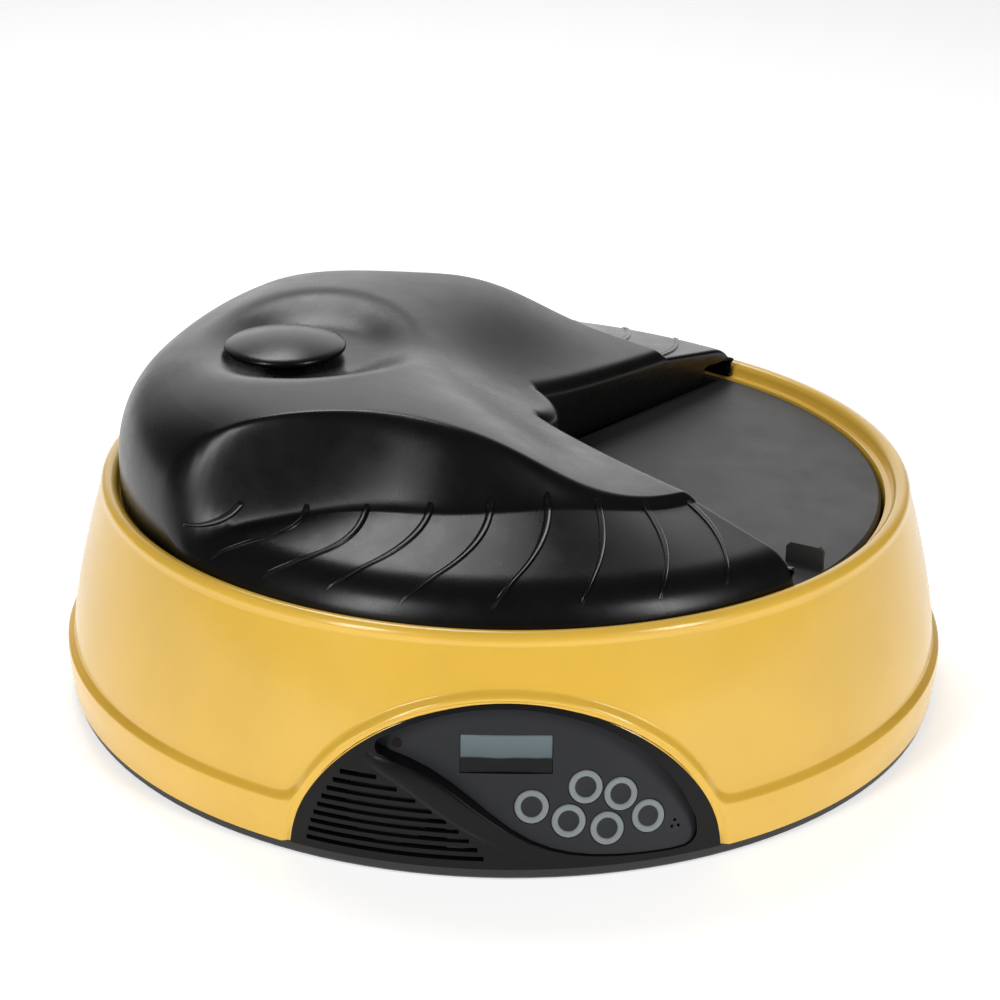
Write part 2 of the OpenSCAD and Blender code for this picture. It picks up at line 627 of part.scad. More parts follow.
module compound(at, low, high, low_n, low_turn, high_n, high_turn) {
  translate([at[0], at[1], 0]) difference() {
    union() {
      translate([0, 0, low]) wheel(low_n, low_turn);
      translate([0, 0, high]) wheel(high_n, high_turn);
      translate([0, 0, low + gear_t - 0.1]) cylinder(r = 4.4, h = high - low - gear_t + 0.2, $fn = 48);
    }
    translate([0, 0, low - 1]) cylinder(r = pin_r + 0.05, h = 12, $fn = 24);
  }
}

module second_gear() {
  color("#D8D5CB") compound(second_at, layer_2, layer_3, teeth_big, line_1,
                            teeth_small, gap_turn(line_2, teeth_small));
}

module first_gear() {
  color("#D8D5CB") compound(first_at, layer_1, layer_2, teeth_big, line_m,
                            teeth_small, gap_turn(line_1, teeth_small));
}

module motor_pinion() {
  color("#C9A24B") translate([motor_at[0], motor_at[1], 0]) {
    translate([0, 0, layer_1]) wheel(teeth_small, gap_turn(line_m, teeth_small));
    translate([0, 0, 13]) cylinder(r = 1, h = layer_1 - 13 + 0.1, $fn = 24);
  }
}

magnet_r = 22;            // distance of the index magnets from the middle
stops = [0, for (i = [0:bowls - 1]) closed_span / 2 + (i + 0.5) * bowl_span];

module output_gear() {
  color("#D8D5CB") translate([0, 0, layer_3]) difference() {
    wheel(teeth_out, line_2);
    translate([0, 0, -1]) cylinder(r = 5.52, h = 6, $fn = 6);
    for (a = stops) rotate([0, 0, a]) translate([magnet_r, 0, gear_t - 1]) cylinder(r = 2.03, h = 2, $fn = 24);
  }
}

module index_magnets() {
  color(steel) for (a = stops) rotate([0, 0, a]) translate([magnet_r, 0, layer_3 + gear_t - 1])
    cylinder(r = 2, h = 2, $fn = 24);
}

sensor_top = well_floor - floor_t;

module sensor_board() {
  color("#1F5B3A") rotate([0, 0, 235]) translate([magnet_r, 0, 0]) {
    translate([-4, -6, sensor_top - 0.8]) cube([8, 12, 0.8]);
    translate([-1.5, -2, sensor_top - 1.6]) cube([3, 4, 0.9]);
  }
}

module gear_plate() {
  motor_nose = 3.2;
  color(gray) difference() {
    translate([0, 0, plate_z]) linear_extrude(height = plate_t) polygon([
      [-33, -33], [42, -20], [94, 24], [94, 40], [60, 78], [6, 74], [-33, -12]]);
    translate([0, 0, plate_z - 1]) cylinder(r = 3.06, h = 4, $fn = 32);
    translate([motor_at[0], motor_at[1], plate_z - 1]) cylinder(r = motor_nose, h = 4, $fn = 32);
    for (p = [first_at, second_at]) translate([p[0], p[1], plate_z - 1]) cylinder(r = pin_r + 0.01, h = 4, $fn = 24);
    for (p = hang_posts) translate([p[0], p[1], plate_z - 1]) cylinder(r = 1.2, h = 4, $fn = 24);
  }
}

module gear_screws() {
  color(steel) for (p = hang_posts) translate([p[0], p[1], 0]) {
    translate([0, 0, plate_z - 1.8]) cylinder(r = 2.4, h = 1.8, $fn = 32);
    translate([0, 0, plate_z - 0.1]) cylinder(r = 1, h = 9, $fn = 24);
  }
}

module gear_pins() {
  color(steel) {
    translate([first_at[0], first_at[1], plate_z]) cylinder(r = pin_r, h = 9.2, $fn = 24);
    translate([first_at[0], first_at[1], plate_z + plate_t]) cylinder(r = 2.8, h = 0.4, $fn = 32);
    translate([second_at[0], second_at[1], plate_z]) cylinder(r = pin_r, h = 12, $fn = 24);
    translate([second_at[0], second_at[1], plate_z + plate_t]) cylinder(r = 2.8, h = 3.6, $fn = 32);
  }
}

module drive_motor() {
  color(steel) translate([motor_at[0], motor_at[1], 0]) difference() {
    union() {
      translate([0, 0, 4]) cylinder(r = 12.2, h = plate_z - 4.05, $fn = 64);
      translate([0, 0, 15]) cylinder(r = 3, h = 2.8, $fn = 32);
    }
    translate([0, 0, 12.9]) cylinder(r = 1.05, h = 6, $fn = 24);
  }
}

module drive_spindle() {
  color(steel) {
    translate([0, 0, 15.6]) cylinder(r = 3, h = layer_3 - 15.6, $fn = 32);
    translate([0, 0, layer_3 - 0.2]) cylinder(r = 5.4, h = gear_t + 0.9, $fn = 6);
    translate([0, 0, layer_3 + gear_t + 0.6]) cylinder(r = 5.94, h = 6.8, $fn = 48);
    translate([0, 0, layer_3 + gear_t + 7.3]) cylinder(r = 5.6, h = 12.8, $fn = 6);
  }
}

module spindle_bush() {
  color("#D8D5CB") difference() {
    union() {
      translate([0, 0, 28.6]) cylinder(r = 8, h = well_floor - 28.6 + 0.1, $fn = 64);
      translate([0, 0, well_floor]) cylinder(r = 11, h = 1.2, $fn = 64);
    }
    translate([0, 0, 20]) cylinder(r = 6, h = 20, $fn = 48);
  }
}

upper_housing();
base_pan();
rubber_feet();
case_screws();
food_tray();
lid();
lid_knob();
knob_screw();
panel_bezel();
panel_label();
lcd_window();
lcd_module();
battery_lamp();
button_1();
button_2();
button_3();
button_4();
button_5();
button_6();
main_board();
key_switches();
microphone();
speaker();
battery_door();
battery_cells();
battery_contacts();
gear_plate();
gear_screws();
gear_pins();
drive_motor();
motor_pinion();
first_gear();
second_gear();
output_gear();
index_magnets();
sensor_board();
drive_spindle();
spindle_bush();
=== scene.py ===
import math

import bpy
import numpy as np
from mathutils import Matrix, Vector


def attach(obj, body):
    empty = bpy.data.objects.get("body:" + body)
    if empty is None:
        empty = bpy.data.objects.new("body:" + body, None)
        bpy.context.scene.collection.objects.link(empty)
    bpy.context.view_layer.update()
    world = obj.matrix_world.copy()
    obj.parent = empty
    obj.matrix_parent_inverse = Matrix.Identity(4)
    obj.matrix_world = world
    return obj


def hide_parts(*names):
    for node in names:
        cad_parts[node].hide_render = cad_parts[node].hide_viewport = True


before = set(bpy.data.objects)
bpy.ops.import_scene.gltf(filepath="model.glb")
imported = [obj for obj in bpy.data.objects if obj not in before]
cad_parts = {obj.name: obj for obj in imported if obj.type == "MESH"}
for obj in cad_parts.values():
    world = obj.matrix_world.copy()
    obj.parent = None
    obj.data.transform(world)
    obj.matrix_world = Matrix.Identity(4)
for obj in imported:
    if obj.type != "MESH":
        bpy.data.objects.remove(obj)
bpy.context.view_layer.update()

# Shapes are worked out in millimetres and scaled to metres when a mesh is made.
MM = 0.001


# ---- mesh helpers ---------------------------------------------------------------------------


def make_piece(name, points, faces, body, materials, sharp=32.0, tints=None):
    """A shaded mesh object that rides on a body. tints gives each face's material number."""
    mesh = bpy.data.meshes.new(name)
    mesh.from_pydata([tuple(p) for p in np.asarray(points, float) * MM], [], faces)
    for made in materials:
        mesh.materials.append(made)
    if tints is not None:
        mesh.polygons.foreach_set("material_index", tints)
    mesh.polygons.foreach_set("use_smooth", [True] * len(mesh.polygons))
    mesh.update()
    mesh.set_sharp_from_angle(angle=math.radians(sharp))
    piece = bpy.data.objects.new(name, mesh)
    bpy.context.scene.collection.objects.link(piece)
    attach(piece, body)
    return piece


def strip(row_a, row_b, closed=False):
    """Quads between two rows of vertex numbers."""
    count = len(row_a)
    last = count if closed else count - 1
    return [
        (row_a[k], row_a[(k + 1) % count], row_b[(k + 1) % count], row_b[k])
        for k in range(last)
    ]


def lathe(profile, steps):
    """Points and faces of a closed solid turned about Z, from a profile with both ends on it."""
    points = [(0.0, 0.0, profile[0][1])]
    faces = []
    rings = []
    for r, z in profile[1:-1]:
        first = len(points)
        for k in range(steps):
            a = 2 * math.pi * k / steps
            points.append((r * math.cos(a), r * math.sin(a), z))
        rings.append(list(range(first, first + steps)))
    points.append((0.0, 0.0, profile[-1][1]))
    for k in range(steps):
        n = (k + 1) % steps
        faces.append((0, rings[0][n], rings[0][k]))
        faces.append((len(points) - 1, rings[-1][k], rings[-1][n]))
    for low, high in zip(rings[:-1], rings[1:]):
        faces.extend(strip(low, high, closed=True))
    return points, faces


def loft(rings):
    """Faces of a closed solid through rings of vertex numbers."""
    faces = []
    for low, high in zip(rings[:-1], rings[1:]):
        faces.extend(strip(low, high, closed=True))
    faces.append(tuple(reversed(rings[0])))
    faces.append(tuple(rings[-1]))
    return faces


def smooth(t):
    """0 to 1 with a soft start and end, as t goes from 0 to 1."""
    u = np.clip(t, 0.0, 1.0)
    return u * u * (3 - 2 * u)


# ---- materials ------------------------------------------------------------------------------


def shader(name, **inputs):
    made = bpy.data.materials.new(name)
    made.use_nodes = True
    bsdf = made.node_tree.nodes["Principled BSDF"]
    for key, value in inputs.items():
        bsdf.inputs[key.replace("_", " ")].default_value = value
    return made, made.node_tree, bsdf


def noise(tree, scale, detail=3.0, rough=0.55, stretch=None):
    place = tree.nodes.new("ShaderNodeTexCoord")
    made = tree.nodes.new("ShaderNodeTexNoise")
    made.inputs["Scale"].default_value = scale
    made.inputs["Detail"].default_value = detail
    made.inputs["Roughness"].default_value = rough
    if stretch is None:
        tree.links.new(place.outputs["Object"], made.inputs["Vector"])
    else:
        mapped = tree.nodes.new("ShaderNodeMapping")
        mapped.inputs["Scale"].default_value = stretch
        tree.links.new(place.outputs["Object"], mapped.inputs["Vector"])
        tree.links.new(mapped.outputs["Vector"], made.inputs["Vector"])
    return made.outputs["Fac"]


def spread(tree, value, low, high, start=0.3, end=0.7):
    made = tree.nodes.new("ShaderNodeMapRange")
    made.inputs["From Min"].default_value = start
    made.inputs["From Max"].default_value = end
    made.inputs["To Min"].default_value = low
    made.inputs["To Max"].default_value = high
    tree.links.new(value, made.inputs["Value"])
    return made.outputs["Result"]


def two_tone(tree, value, dark, light, start=0.35, end=0.65):
    ramp = tree.nodes.new("ShaderNodeValToRGB")
    ramp.color_ramp.elements[0].position = start
    ramp.color_ramp.elements[0].color = (*dark, 1)
    ramp.color_ramp.elements[1].position = end
    ramp.color_ramp.elements[1].color = (*light, 1)
    tree.links.new(value, ramp.inputs["Fac"])
    return ramp.outputs["Color"]


def bump(tree, bsdf, height, strength, distance, under=None):
    made = tree.nodes.new("ShaderNodeBump")
    made.inputs["Strength"].default_value = strength
    made.inputs["Distance"].default_value = distance
    tree.links.new(height, made.inputs["Height"])
    if under is not None:
        tree.links.new(under, made.inputs["Normal"])
    tree.links.new(made.outputs["Normal"], bsdf.inputs["Normal"])
    return made.outputs["Normal"]


def tone(colour, gain):
    return tuple(min(1.0, c * gain) for c in colour)


def moulded(
    name,
    colour,
    rough,
    vary=0.06,
    wave=0.012,
    grain=0.05,
    fine=1600.0,
    coat=0.0,
    sheen=0.04,
    shine=0.5,
):
    """Injection-moulded plastic: slow waves, a fine grain and a patchy gloss.

    vary and sheen are the spreads of colour and roughness, wave and grain the strengths of the
    two bumps, fine the scale of the grain, and shine the specular level.
    """
    made, tree, bsdf = shader(name, Coat_Weight=coat, Coat_Roughness=0.12, Specular_IOR_Level=shine)
    patch = noise(tree, 34.0, 4.0)
    tree.links.new(
        two_tone(tree, patch, tone(colour, 1 - vary), tone(colour, 1 + vary)),
        bsdf.inputs["Base Color"],
    )
    gloss = noise(tree, 75.0, 5.0, 0.6)
    tree.links.new(spread(tree, gloss, rough - sheen, rough + sheen), bsdf.inputs["Roughness"])
    swell = bump(tree, bsdf, noise(tree, 60.0, 2.0), wave, 0.002)
    bump(tree, bsdf, noise(tree, fine, 2.0), grain, 0.0002, swell)
    return made


def metal(name, colour, rough, lines=(400.0, 400.0, 4000.0)):
    """Turned or drawn metal with fine lines along one axis and a few dull patches."""
    made, tree, bsdf = shader(name, Metallic=1.0)
    streak = noise(tree, 1.0, 4.0, 0.6, lines)
    tree.links.new(
        two_tone(tree, streak, tone(colour, 0.82), tone(colour, 1.1)), bsdf.inputs["Base Color"]
    )
    patch = noise(tree, 260.0, 3.0)
    tree.links.new(spread(tree, patch, rough * 0.7, rough * 1.35), bsdf.inputs["Roughness"])
    bump(tree, bsdf, streak, 0.12, 0.0001)
    return made


def circuit(name):
    """Solder mask over copper tracks, with the glass weave just showing."""
    made, tree, bsdf = shader(name)
    place = tree.nodes.new("ShaderNodeTexCoord")
    tracks = tree.nodes.new("ShaderNodeTexBrick")
    tracks.inputs["Scale"].default_value = 160.0
    tracks.inputs["Mortar Size"].default_value = 0.03
    tracks.inputs["Color1"].default_value = (0.006, 0.045, 0.022, 1)
    tracks.inputs["Color2"].default_value = (0.005, 0.038, 0.018, 1)
    tracks.inputs["Mortar"].default_value = (0.018, 0.090, 0.036, 1)
    tree.links.new(place.outputs["Object"], tracks.inputs["Vector"])
    tree.links.new(tracks.outputs["Color"], bsdf.inputs["Base Color"])
    weave = noise(tree, 2400.0, 2.0)
    tree.links.new(spread(tree, weave, 0.28, 0.42), bsdf.inputs["Roughness"])
    bump(tree, bsdf, weave, 0.08, 0.0001)
    return made


def display(name, middle, upward):
    """Reflective display: a grey-blue field above, and a painted dark reflection across its lower
    part.
    """
    made, tree, bsdf = shader(name, Coat_Weight=0.1, Coat_Roughness=0.05, Specular_IOR_Level=0.25)
    place = tree.nodes.new("ShaderNodeTexCoord")
    along = tree.nodes.new("ShaderNodeVectorMath")
    along.operation = "DOT_PRODUCT"
    along.inputs[1].default_value = tuple(upward)
    tree.links.new(place.outputs["Object"], along.inputs[0])
    # a slow noise makes the top edge of the painted dark reflection wavy
    reflection_ripple = noise(tree, 90.0, 1.0)
    wave = spread(tree, reflection_ripple, -0.0002, 0.0002)
    added = tree.nodes.new("ShaderNodeMath")
    added.operation = "ADD"
    tree.links.new(along.outputs["Value"], added.inputs[0])
    tree.links.new(wave, added.inputs[1])
    level = middle.dot(upward)
    share = spread(tree, added.outputs["Value"], 0.0, 1.0, level - 0.0060, level + 0.0060)
    # the near-black stops up to 0.37 paint a dark reflection over the lower part of the display;
    # the grey-blue field lies above them
    ramp = tree.nodes.new("ShaderNodeValToRGB")
    ramp.color_ramp.elements[0].position = 0.0
    ramp.color_ramp.elements[0].color = (0.004, 0.0045, 0.005, 1)
    ramp.color_ramp.elements[1].position = 1.0
    ramp.color_ramp.elements[1].color = (0.150, 0.195, 0.210, 1)
    for position, colour in (
        (0.37, (0.005, 0.0055, 0.006, 1)),
        (0.42, (0.105, 0.140, 0.153, 1)),
        (0.75, (0.135, 0.178, 0.192, 1)),
    ):
        ramp.color_ramp.elements.new(position).color = colour
    tree.links.new(share, ramp.inputs["Fac"])
    tree.links.new(ramp.outputs["Color"], bsdf.inputs["Base Color"])
    fleck = noise(tree, 3000.0, 2.0)
    tree.links.new(spread(tree, fleck, 0.30, 0.40), bsdf.inputs["Roughness"])
    bump(tree, bsdf, fleck, 0.03, 0.0001)
    return made


# ---- control panel frame --------------------------------------------------------------------

LEAN = 14.0
BUTTONS = [(2.9, 24.5), (7.2, 19.6), (11.7, 16.4), (9.3, 30.0), (13.5, 26.8), (16.7, 18.7)]
LCD_AT = (-0.1, 40.8)
BOARD_AT = (5.0, 28.0)
BOARD_BACK = 7.0


def face_radius(z):
    return 157.7 - math.tan(math.radians(LEAN)) * (z - 12)


def on_face(spot):
    """Matrix that puts +Z out of the button face at an azimuth and a height, in millimetres."""
    azimuth, z = spot
    return (
        Matrix.Rotation(math.radians(azimuth), 4, "Z")
        @ Matrix.Translation((0, -face_radius(z), z))
        @ Matrix.Rotation(math.radians(90 - LEAN), 4, "X")
    )


def outward(azimuth):
    return on_face((azimuth, 0)).to_3x3() @ Vector((0, 0, 1))


lcd_frame = on_face(LCD_AT)
lcd_up = lcd_frame.to_3x3() @ Vector((0, 1, 0))
lcd_middle = lcd_frame.translation * MM

YELLOW = (0.88, 0.54, 0.072)
mat_yellow = moulded("yellow_shell", YELLOW, 0.21, 0.025, 0.010, 0.015, 1500.0, 0.18, 0.03)
mat_lid = moulded(
    "black_lid", (0.0045, 0.0045, 0.0050), 0.28, 0.10, 0.010, 0.05, 1900.0, shine=0.36
)
mat_base = moulded("black_base", (0.016, 0.016, 0.017), 0.42, 0.10, 0.012, 0.08, 1500.0)
mat_tray = moulded("grey_tray", (0.040, 0.041, 0.043), 0.52, 0.06, 0.012, 0.10, 1300.0)
mat_panel = moulded(
    "panel_black", (0.0045, 0.0045, 0.0052), 0.30, 0.08, 0.010, 0.05, 1700.0, shine=0.2
)
mat_label = moulded(
    "label_film", (0.0225, 0.0235, 0.0275), 0.46, 0.05, 0.006, 0.09, 2600.0, shine=0.3
)
mat_ring = moulded("button_grey", (0.235, 0.262, 0.268), 0.50, 0.05, 0.010, 0.08, 2200.0)
mat_rubber = moulded("foot_rubber", (0.020, 0.020, 0.020), 0.80, 0.12, 0.020, 0.30, 1100.0)
mat_switch = moulded("switch_black", (0.012, 0.012, 0.013), 0.45)
mat_speaker = moulded("speaker_black", (0.010, 0.010, 0.011), 0.60, 0.10, 0.02, 0.25, 1200.0)
mat_frame = moulded("frame_plastic", (0.30, 0.30, 0.29), 0.48, 0.05, 0.012, 0.10, 1300.0)
mat_gear = moulded("gear_white", (0.72, 0.71, 0.66), 0.40, 0.04, 0.010, 0.06, 1500.0)
mat_cell = moulded("cell_wrap", (0.05, 0.17, 0.08), 0.30, 0.15, 0.008, 0.04, 900.0, 0.3)
mat_lamp = moulded("lamp_lens", (0.010, 0.002, 0.002), 0.20, 0.12, 0.010, 0.02, 900.0, shine=0.2)
mat_lcd = display("clear_window", lcd_middle, lcd_up)
mat_lcd_back = moulded("lcd_glass", (0.22, 0.25, 0.25), 0.35, 0.05)
mat_board = circuit("circuit_board")
mat_screw = metal("zinc_screw", (0.56, 0.57, 0.58), 0.34)
mat_can = metal("can_metal", (0.60, 0.60, 0.60), 0.30, (300.0, 300.0, 2500.0))
mat_contact = metal("contact_nickel", (0.62, 0.60, 0.56), 0.25)
mat_pin = metal("pin_steel", (0.50, 0.50, 0.51), 0.22)
mat_brass = metal("pinion_brass", (0.71, 0.48, 0.19), 0.28)

NODE_MATERIALS = {
    "base_pan": mat_base,
    "battery_door": mat_base,
    "rubber_feet": mat_rubber,
    "case_screws": mat_screw,
    "knob_screw": mat_screw,
    "gear_screws": mat_screw,
    "food_tray": mat_tray,
    "panel_bezel": mat_panel,
    "panel_label": mat_label,
    "lcd_window": mat_lcd,
    "lcd_module": mat_lcd_back,
    "battery_lamp": mat_lamp,
    "main_board": mat_board,
    "sensor_board": mat_board,
    "key_switches": mat_switch,
    "microphone": mat_can,
    "drive_motor": mat_can,
    "speaker": mat_speaker,
    "battery_cells": mat_cell,
    "battery_contacts": mat_contact,
    "gear_plate": mat_frame,
    "spindle_bush": mat_gear,
    "drive_spindle": mat_pin,
    "gear_pins": mat_pin,
    "index_magnets": mat_contact,
    "motor_pinion": mat_brass,
    "first_gear": mat_gear,
    "second_gear": mat_gear,
    "output_gear": mat_gear,
}
# width of the rounding on a node's edges, in millimetres
EDGE_ROUNDING = {
    "food_tray": 0.7,
    "panel_bezel": 0.45,
    "panel_label": 0.15,
    "base_pan": 0.35,
    "battery_door": 0.3,
    "rubber_feet": 0.4,
    "gear_plate": 0.3,
    "drive_motor": 0.4,
    "speaker": 0.4,
    "battery_cells": 0.5,
    "drive_spindle": 0.3,
    "main_board": 0.12,
    "case_screws": 0.15,
    "knob_screw": 0.15,
}


def finish_node(node, made):
    """A carried-over CAD node: its own material, and rounded edges where it has them."""
    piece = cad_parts[node]
    mesh = piece.data
    if "custom_normal" in mesh.attributes:
        mesh.attributes.remove(mesh.attributes["custom_normal"])
    if not mesh.materials:
        mesh.materials.append(made)
    for k in range(len(mesh.materials)):
        mesh.materials[k] = made
    mesh.polygons.foreach_set("use_smooth", [True] * len(mesh.polygons))
    weld = piece.modifiers.new("weld", "WELD")
    weld.merge_threshold = 1e-6
    if node in EDGE_ROUNDING:
        flat = piece.modifiers.new("flat", "DECIMATE")
        flat.decimate_type = "DISSOLVE"
        flat.angle_limit = math.radians(0.3)
        rounded = piece.modifiers.new("rounded", "BEVEL")
        rounded.width = EDGE_ROUNDING[node] * MM
        rounded.segments = 2
        rounded.limit_method = "ANGLE"
        rounded.angle_limit = math.radians(34)
        rounded.harden_normals = True
        rounded.miter_outer = "MITER_ARC"
    split = piece.modifiers.new("split", "EDGE_SPLIT")
    split.split_angle = math.radians(30)
    split.use_edge_sharp = False


for node_name, node_material in NODE_MATERIALS.items():
    finish_node(node_name, node_material)


# ---- lid ------------------------------------------------------------------------------------

LID_R = 139.4
LID_TOP = 129.15
HUB_R = 19.0
OPEN_HALF = 48.1
DECK_Z = 74.5
LEDGE_Z = 74.7
LID_WALL = 2.0


def crown(x, y):
    middle = -11.4 + 22 * smooth(np.abs(y) / 85)
    return 96 + (LID_TOP - 96) / (1 + np.exp((x - middle) / 15))


def crease(t):
    return 92 - 9.5 * smooth((t - 55) / 45) + 43.5 * (np.maximum(0, t - 104) / 38) ** 2.5


def slope_width(t):
    return 4 + 16 * smooth((t - 52) / 60)


def wall_share(r, t):
    """1 on the dome, 0 on the wings, and the fall of the wall between them."""
    return smooth((crease(t) + slope_width(t) - r) / slope_width(t)) ** 0.9


def lid_skin(r, t):
    """Height of the lid's outside at radius r and angle t, 0 to 180 degrees from the opening."""
    x = r * np.cos(np.radians(t))
    y = r * np.sin(np.radians(t))
    rho = np.minimum(1, r / 139.6)
    power = 9.8 - 4.7 * smooth((t - 116) / 53)
    fall = 46 * (1 - np.maximum(0, 1 - rho**power) ** 0.4)
    head = crown(x, y) - fall * smooth((40 - x) / 60) - 1.5 * (y / 80) ** 2 * smooth((20 - x) / 60)
    g = smooth((t - 50) / 35)
    u = np.clip((r - LID_R + 12) / 12, 0, 1)
    wing = 88.6 + 1.6 * g + (0.15 + 0.19 * g) * (130 - r) - 10 * (1 - np.sqrt(1 - u * u))
    q = np.sqrt(((x + 71) / 38) ** 2 + (y / 47) ** 2)
    return wing + (head - wing) * wall_share(r, t) - 8.5 * (1 - smooth((q - 0.5) / 0.62))


def fold(t):
    u = np.mod(t, 360.0)
    return np.where(u > 180, 360 - u, u)


def edge_distance(r, t):
    """Distance from a point of the lid to its free edge beside the opening."""
    beside = np.radians(fold(t) - OPEN_HALF)
    along = r * np.cos(beside)
    off = r * np.sin(beside)
    corner = np.hypot(HUB_R - along, off)
    arm = np.where(along >= HUB_R, np.abs(off), corner)
    hub = np.where(fold(t) <= OPEN_HALF, HUB_R - r, corner)
    return np.minimum(arm, np.abs(hub))


def lid_outside(r, t):
    """Height of the lid's outside with its rounded free edge."""
    folded = fold(t)
    beside_opening = folded < OPEN_HALF + 40
    share = np.where(beside_opening, wall_share(r, np.maximum(folded, OPEN_HALF)), 1)
    radius = 1.6 + 3.2 * share
    d = np.minimum(edge_distance(r, t), radius)
    return lid_skin(r, folded) - radius + np.sqrt(np.maximum(0, radius**2 - (radius - d) ** 2))


HUB_ROWS = [3, 6.5, 10, 13, 14.8, 16, 16.9, 17.6, 18.15, 18.55, 18.82, 18.95, HUB_R]
NEAR_ROWS = [19.15, 19.5, 20.0, 20.7, 21.6, 22.7, 24.2, 26.5]
DOME_ROWS = 24
WALL_ROWS = 24
RIM_ROWS = 24
SKIRT_ROWS = 4
EDGE_OFFSETS = [0, 0.06, 0.22, 0.5, 0.9, 1.4, 2.1, 2.9, 3.8, 4.9, 6.4, 8.4]
HALF_COLUMNS = 92
OPEN_COLUMNS = 44


def lid_rows(t):
    """Radii of the lid's rows at angle t: they follow the crease and the foot of the wall."""
    top = min(LID_R - 18, float(crease(t)) - 3)
    foot = min(LID_R - 10, float(crease(t) + slope_width(t)) + 1)
    rows = HUB_ROWS + NEAR_ROWS
    start = NEAR_ROWS[-1]
    rows = rows + [start + (top - start) * k / DOME_ROWS for k in range(1, DOME_ROWS + 1)]
    rows = rows + [top + (foot - top) * k / WALL_ROWS for k in range(1, WALL_ROWS + 1)]
    turns = [math.sin(math.pi / 2 * k / RIM_ROWS) for k in range(1, RIM_ROWS + 1)]
    return rows + [foot + (LID_R - foot) * s for s in turns]


def build_lid():
    half = np.linspace(0, 1, HALF_COLUMNS)
    middle_t = OPEN_HALF + np.degrees(np.arcsin(EDGE_OFFSETS[-1] / 130.0))
    coarse = middle_t + (180 - middle_t) * half
    row_table = [lid_rows(OPEN_HALF)] * len(EDGE_OFFSETS) + [lid_rows(t) for t in coarse[1:]]
    radii = np.array(row_table)  # column, row
    start = np.degrees(np.arcsin(np.minimum(1, EDGE_OFFSETS[-1] / np.maximum(radii, HUB_R))))
    angles = np.zeros_like(radii)
    for k, offset in enumerate(EDGE_OFFSETS):
        angles[k] = OPEN_HALF + np.degrees(np.arcsin(offset / np.maximum(radii[k], HUB_R)))
    for k in range(1, HALF_COLUMNS):
        column = len(EDGE_OFFSETS) + k - 1
        first = OPEN_HALF + start[column]
        angles[column] = first + (180 - first) * half[k]
    radii = np.vstack([radii, radii[-2::-1]])
    angles = np.vstack([angles, 360 - angles[-2::-1]])
    columns, rows = radii.shape
    hub_rows = len(HUB_ROWS)

    open_t = np.linspace(-OPEN_HALF, OPEN_HALF, OPEN_COLUMNS + 1)[1:-1]
    points = [(0.0, 0.0, float(lid_outside(np.array(0.01), np.array(180.0))))]
    index = {}

    def add(key, r, t):
        z = float(lid_outside(np.array(r), np.array(t)))
        index[key] = len(points)
        points.append((r * math.cos(math.radians(t)), r * math.sin(math.radians(t)), z))

    for i in range(rows):
        for j in range(columns):
            add((i, j), radii[j, i], angles[j, i])
        if i < hub_rows:
            for j, t in enumerate(open_t):
                add((i, columns + j), radii[0, i], t)

    faces = []
    around = columns + len(open_t)
    first = [index[(0, j)] for j in range(around)]
    faces.extend((0, first[j], first[(j + 1) % around]) for j in range(around))
    for i in range(rows - 1):
        if i + 1 < hub_rows:
            low = [index[(i, j)] for j in range(around)]
            high = [index[(i + 1, j)] for j in range(around)]
            faces.extend((b, a, d, c) for a, b, c, d in strip(low, high, closed=True))
        else:
            low = [index[(i, j)] for j in range(columns)]
            high = [index[(i + 1, j)] for j in range(columns)]
            faces.extend((b, a, d, c) for a, b, c, d in strip(low, high))

    edge = [(rows - 1, j) for j in range(columns)]
    edge += [(i, columns - 1) for i in range(rows - 2, hub_rows - 2, -1)]
    edge += [(hub_rows - 1, columns + j) for j in range(len(open_t))]
    edge += [(i, 0) for i in range(hub_rows - 1, rows - 1)]

    def foot_height(i, j):
        r = radii[0, i] if j >= columns else radii[j, i]
        if i == rows - 1:
            return LEDGE_Z + 0.3
        beside = j in (0, columns - 1)
        return DECK_Z + 8.7 if beside and 119 < r < LID_R - 1.9 else DECK_Z + 2

    free_edge = [index[e] for e in edge]
    upper = free_edge
    for k in range(1, SKIRT_ROWS + 1):
        lower = []
        for (i, j), source in zip(edge, free_edge):
            x, y, z = points[source]
            lower.append(len(points))
            points.append((x, y, z + (foot_height(i, j) - z) * k / SKIRT_ROWS))
        faces.extend((b, a, d, c) for a, b, c, d in strip(upper, lower, closed=True))
        upper = lower
    piece = make_piece("lid_shell", points, faces, "lid_assembly", [mat_lid], 50.0)
    shell = piece.modifiers.new("wall", "SOLIDIFY")
    shell.thickness = LID_WALL * MM
    shell.offset = -1
    shell.use_even_offset = False
    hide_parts("lid")


# start, middle and end of each rib of a wing, as radius and angle from the opening
RIBS = [
    ((94.7, 50.5), (114.5, 53.5), (136.2, 59.3)),
    ((93.2, 61.4), (117.6, 64.6), (136.7, 69.7)),
    ((93.1, 71.8), (117.4, 75.5), (136.4, 80.6)),
    ((93.4, 82.3), (113.7, 85.1), (136.5, 92.2)),
    ((95.5, 93.5), (115.3, 96.0), (136.9, 104.4)),
    ((98.8, 104.8), (116.4, 106.8), (137.1, 115.0)),
    ((103.0, 116.5), (121.0, 116.7), (137.2, 125.1)),
    ((110.9, 126.3), (123.5, 127.1), (137.4, 134.7)),
    ((123.1, 135.0), (130.7, 137.4), (137.0, 141.3)),
]
RIB_STEPS = 36
RIB_HALF_WIDTH = 1.2


def lid_spot(r, t, side):
    return Vector(
        (
            r * math.cos(math.radians(t)),
            side * r * math.sin(math.radians(t)),
            float(lid_skin(np.array(r), np.array(t))),
        )
    )


def rib_line(rib, v):
    """Radius and angle along a rib, through its start, middle and end."""
    start, middle, end = rib
    shares = ((1 - v) * (1 - 2 * v), 4 * v * (1 - v), v * (2 * v - 1))
    return tuple(sum(s * p[k] for s, p in zip(shares, (start, middle, end))) for k in (0, 1))


